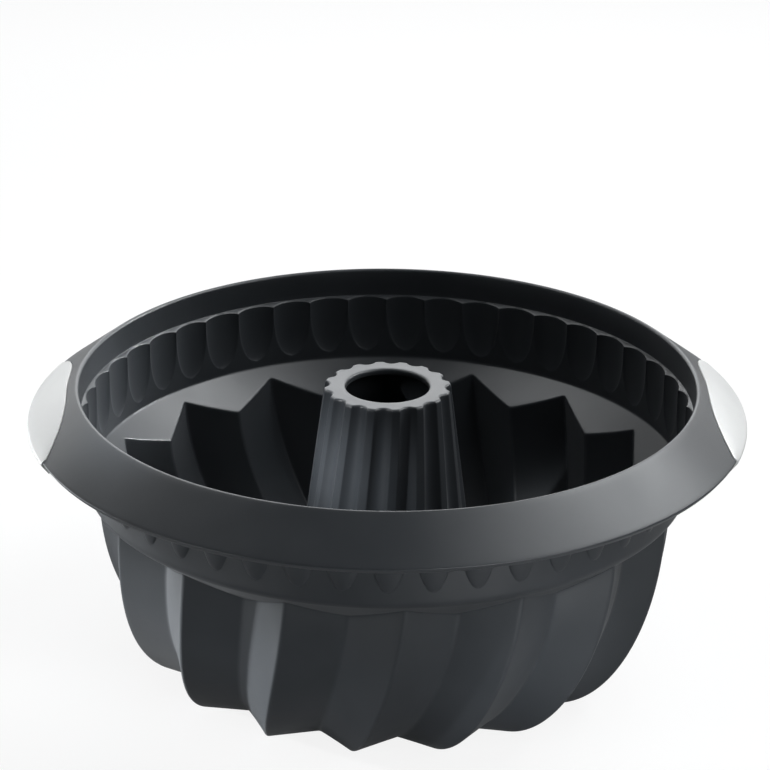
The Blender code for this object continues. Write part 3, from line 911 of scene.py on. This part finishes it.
def silicone_material():
    """Charcoal silicone: satin, with a soft bloom, faint clouds in its gloss and a fine moulded grain."""
    nodes = Nodes("silicone")
    shader = nodes.shader
    clouds = nodes.noise(38.0, 4.0)
    grain = nodes.noise(2600.0, 2.0)
    colour = nodes.blend(nodes.spread(clouds, 0.0, 1.0), (0.0195, 0.0225, 0.026), (0.025, 0.028, 0.032))
    nodes.link(colour, shader.inputs["Base Color"])
    nodes.link(nodes.spread(clouds, 0.35, 0.41), shader.inputs["Roughness"])
    swell = nodes.bump(nodes.noise(120.0, 3.0), 0.10, 0.0004)
    nodes.link(nodes.bump(grain, 0.16, 0.00005, swell), shader.inputs["Normal"])
    shader.inputs["IOR"].default_value = 1.5
    shader.inputs["Sheen Weight"].default_value = 0.06
    shader.inputs["Sheen Roughness"].default_value = 0.5
    return nodes.material


def silver_material():
    """Satin silver lacquer with a fine blasted grain."""
    nodes = Nodes("silver")
    shader = nodes.shader
    shader.inputs["Metallic"].default_value = 0.3
    clouds = nodes.noise(60.0, 4.0)
    grain = nodes.noise(5200.0, 2.0)
    colour = nodes.blend(nodes.spread(clouds, 0.0, 1.0), (0.56, 0.56, 0.555), (0.60, 0.60, 0.59))
    nodes.link(colour, shader.inputs["Base Color"])
    nodes.link(nodes.spread(clouds, 0.44, 0.52), shader.inputs["Roughness"])
    nodes.link(nodes.bump(grain, 0.2, 0.00003), shader.inputs["Normal"])
    return nodes.material


def backing_material():
    """Black heat-proof plastic with a spark-eroded texture."""
    nodes = Nodes("backing")
    shader = nodes.shader
    grain = nodes.noise(1800.0, 4.0, 0.7)
    colour = nodes.blend(nodes.noise(90.0), (0.022, 0.023, 0.024), (0.034, 0.035, 0.037))
    nodes.link(colour, shader.inputs["Base Color"])
    nodes.link(nodes.spread(grain, 0.46, 0.62), shader.inputs["Roughness"])
    nodes.link(nodes.bump(grain, 0.5, 0.00008), shader.inputs["Normal"])
    return nodes.material


def steel_material():
    """Bright drawn steel with fine scratches and a few dull spots."""
    nodes = Nodes("steel")
    shader = nodes.shader
    shader.inputs["Metallic"].default_value = 1.0
    spots = nodes.noise(240.0, 5.0, 0.65)
    scratches = nodes.noise(4200.0, 3.0, 0.7)
    colour = nodes.blend(nodes.spread(spots, 0.0, 1.0), (0.52, 0.53, 0.54), (0.64, 0.65, 0.66))
    nodes.link(colour, shader.inputs["Base Color"])
    nodes.link(nodes.spread(spots, 0.22, 0.42), shader.inputs["Roughness"])
    nodes.link(nodes.bump(scratches, 0.25, 0.00003), shader.inputs["Normal"])
    return nodes.material


def straight_rays(tree, rays):
    """1 for the camera's own rays and those through something clear, and 0 for all others."""
    seen = tree.nodes.new("ShaderNodeMath")
    seen.operation = "MAXIMUM"
    tree.links.new(rays.outputs["Is Camera Ray"], seen.inputs[0])
    tree.links.new(rays.outputs["Is Transmission Ray"], seen.inputs[1])
    return seen.outputs[0]


def make_floor():
    """A plain floor. The camera sees it pale, nearly white, with the object's shadow kept faint. The object
    sees it grey, also in its gloss."""
    mesh = bpy.data.meshes.new("floor")
    reach = FLOOR_REACH
    corners = [(-reach, -reach, 0), (reach, -reach, 0), (reach, reach, 0), (-reach, reach, 0)]
    mesh.from_pydata(corners, [], [(0, 1, 2, 3)])
    floor = bpy.data.objects.new("floor", mesh)
    bpy.context.scene.collection.objects.link(floor)
    material = bpy.data.materials.new("floor")
    material.use_nodes = True
    tree = material.node_tree
    shader = tree.nodes["Principled BSDF"]
    shader.inputs["Roughness"].default_value = FLOOR_ROUGHNESS
    shader.inputs["Specular IOR Level"].default_value = 0.0
    seen = straight_rays(tree, tree.nodes.new("ShaderNodeLightPath"))
    colour = tree.nodes.new("ShaderNodeMix")
    colour.data_type = "RGBA"
    colour.inputs["A"].default_value = (FLOOR_GREY, FLOOR_GREY, FLOOR_GREY, 1)
    colour.inputs["B"].default_value = (FLOOR_PALE, FLOOR_PALE, FLOOR_PALE, 1)
    tree.links.new(seen, colour.inputs["Factor"])
    tree.links.new(colour.outputs["Result"], shader.inputs["Base Color"])
    share = tree.nodes.new("ShaderNodeMath")
    share.operation = "MULTIPLY"
    share.inputs[1].default_value = FLOOR_SEEN_WHITE
    tree.links.new(seen, share.inputs[0])
    white = tree.nodes.new("ShaderNodeEmission")
    mix = tree.nodes.new("ShaderNodeMixShader")
    tree.links.new(share.outputs[0], mix.inputs["Fac"])
    tree.links.new(shader.outputs["BSDF"], mix.inputs[1])
    tree.links.new(white.outputs["Emission"], mix.inputs[2])
    tree.links.new(mix.outputs["Shader"], tree.nodes["Material Output"].inputs["Surface"])
    mesh.materials.append(material)


def make_world():
    """A white backdrop for the camera. Glossy rays see it white behind the object and dark on the camera's
    side, and all other rays get a faint light from all round."""
    world = bpy.data.worlds.new("studio")
    bpy.context.scene.world = world
    world.use_nodes = True
    tree = world.node_tree
    background = tree.nodes["Background"]
    rays = tree.nodes.new("ShaderNodeLightPath")
    way = tree.nodes.new("ShaderNodeTexCoord")
    parts = tree.nodes.new("ShaderNodeSeparateXYZ")
    tree.links.new(way.outputs["Generated"], parts.inputs["Vector"])
    back = tree.nodes.new("ShaderNodeMapRange")
    back.inputs["From Min"].default_value = WORLD_RAMP[0]
    back.inputs["From Max"].default_value = WORLD_RAMP[1]
    back.inputs["To Min"].default_value = WORLD_FRONT
    back.inputs["To Max"].default_value = WORLD_BACK
    tree.links.new(parts.outputs["Y"], back.inputs["Value"])
    gloss = tree.nodes.new("ShaderNodeMix")
    gloss.data_type = "FLOAT"
    tree.links.new(rays.outputs["Is Glossy Ray"], gloss.inputs["Factor"])
    gloss.inputs["A"].default_value = WORLD_FILL
    tree.links.new(back.outputs["Result"], gloss.inputs["B"])
    mix = tree.nodes.new("ShaderNodeMix")
    mix.data_type = "FLOAT"
    tree.links.new(straight_rays(tree, rays), mix.inputs["Factor"])
    tree.links.new(gloss.outputs["Result"], mix.inputs["A"])
    mix.inputs["B"].default_value = 1.0
    tree.links.new(mix.outputs["Result"], background.inputs["Strength"])
    background.inputs["Color"].default_value = (1, 1, 1, 1)


def aim_lamp(name, lamp, azimuth, elevation, distance, aim):
    """Stands a lamp in a direction and at a distance from what it lights, and turns it there."""
    obj = bpy.data.objects.new(name, lamp)
    bpy.context.scene.collection.objects.link(obj)
    rise = math.radians(elevation)
    away = polar(distance * math.cos(rise), azimuth, distance * math.sin(rise))
    obj.location = aim + away
    obj.rotation_euler = (-away).to_track_quat("-Z", "Y").to_euler()
    obj.visible_camera = False


def softbox(name, azimuth, elevation, distance, width, height, brightness):
    """A soft rectangle of light. A brightness of 1 is that of the white backdrop, and takes a power of four
    times the size of the rectangle."""
    lamp = bpy.data.lights.new(name, "AREA")
    lamp.shape = "RECTANGLE"
    lamp.size = width
    lamp.size_y = height
    lamp.energy = 4 * width * height * brightness
    lamp.color = LAMP_COLOUR
    aim_lamp(name, lamp, azimuth, elevation, distance, Vector((0, 0, LAMP_AIM)))


def spotlight(name, azimuth, elevation, distance, aim, cone, power):
    """A narrow lamp on one part of the object, which fades out towards the edge of its cone."""
    lamp = bpy.data.lights.new(name, "SPOT")
    lamp.spot_size = math.radians(cone)
    lamp.spot_blend = 1.0
    lamp.shadow_soft_size = SPOT_SOFTNESS
    lamp.energy = power
    lamp.color = LAMP_COLOUR
    aim_lamp(name, lamp, azimuth, elevation, distance, Vector(aim))


def make_lights():
    """Soft boxes: azimuth, elevation, distance, width, height and brightness. Spotlights: azimuth,
    elevation, distance, the place they light, the angle of their cone and their power."""
    softbox("back", 180.0, 24.0, 1.0, 0.70, 0.30, 3.0)
    softbox("back_left", 214.0, 20.0, 1.0, 0.50, 0.40, 0.9)
    softbox("back_right", 146.0, 20.0, 1.0, 0.50, 0.40, 0.6)
    softbox("left_low", 252.0, 1.0, 0.5, 0.46, 0.12, 7.0)
    softbox("front_left_low", 308.0, 1.0, 0.5, 0.22, 0.12, 4.0)
    softbox("front_right_low", 27.0, 3.0, 0.36, 0.20, 0.08, 7.0)
    softbox("left_high", 231.0, 57.0, 0.48, 0.26, 0.26, 2.7)
    softbox("right_high", 118.0, 46.0, 1.0, 0.50, 0.50, 6.8)
    softbox("right_top", 88.0, 62.0, 1.0, 0.50, 0.40, 2.6)
    softbox("right_front", 60.0, 35.0, 1.0, 0.40, 0.40, 2.6)
    spotlight("tube", 300.0, 31.0, 1.0, (-0.010, -0.006, 0.073), 3.4, 150.0)
    spotlight("inside_left", 108.0, 22.0, 0.7, (-0.088, 0.032, 0.098), 7.6, 32.0)
    spotlight("lobes_left", 248.0, 3.0, 0.7, (-0.055, -0.066, 0.030), 9.0, 80.0)
    spotlight("lobes_front_left", 286.0, 3.0, 0.7, (-0.016, -0.082, 0.030), 7.0, 14.0)
    spotlight("lobes_front_right", 18.0, 3.0, 0.7, (0.050, -0.066, 0.030), 8.0, 14.0)


def make_camera():
    """The camera that was fitted to the rim, the ledge, the band's foot and the top of the tube."""
    data = bpy.data.cameras.new("camera")
    data.lens = CAMERA_LENS
    data.sensor_width = CAMERA_SENSOR
    data.clip_start = CAMERA_CLIP
    camera = bpy.data.objects.new("camera", data)
    bpy.context.scene.collection.objects.link(camera)
    elevation = math.radians(CAMERA_ELEVATION)
    level = CAMERA_DISTANCE * math.cos(elevation)
    place = polar(level, CAMERA_AZIMUTH, HEIGHT + CAMERA_DISTANCE * math.sin(elevation))
    aim = Matrix.Rotation(math.radians(CAMERA_AZIMUTH), 3, "Z") @ CAMERA_AIM
    look = (aim - place).to_track_quat("-Z", "Y").to_matrix()
    roll = Matrix.Rotation(math.radians(CAMERA_ROLL), 3, "Z")
    camera.matrix_world = Matrix.Translation(place) @ (look @ roll).to_4x4()
    bpy.context.scene.camera = camera


def main():
    bpy.context.scene.view_settings.view_transform = "Standard"
    silver = silver_material()
    black = backing_material()
    steel = steel_material()
    make_moulding(silicone_material())
    make_hoop(steel)
    for side, middle in GRIP_MIDDLES.items():
        make_grip(side, middle, silver, black, steel)
    make_floor()
    make_world()
    make_lights()
    make_camera()


main()
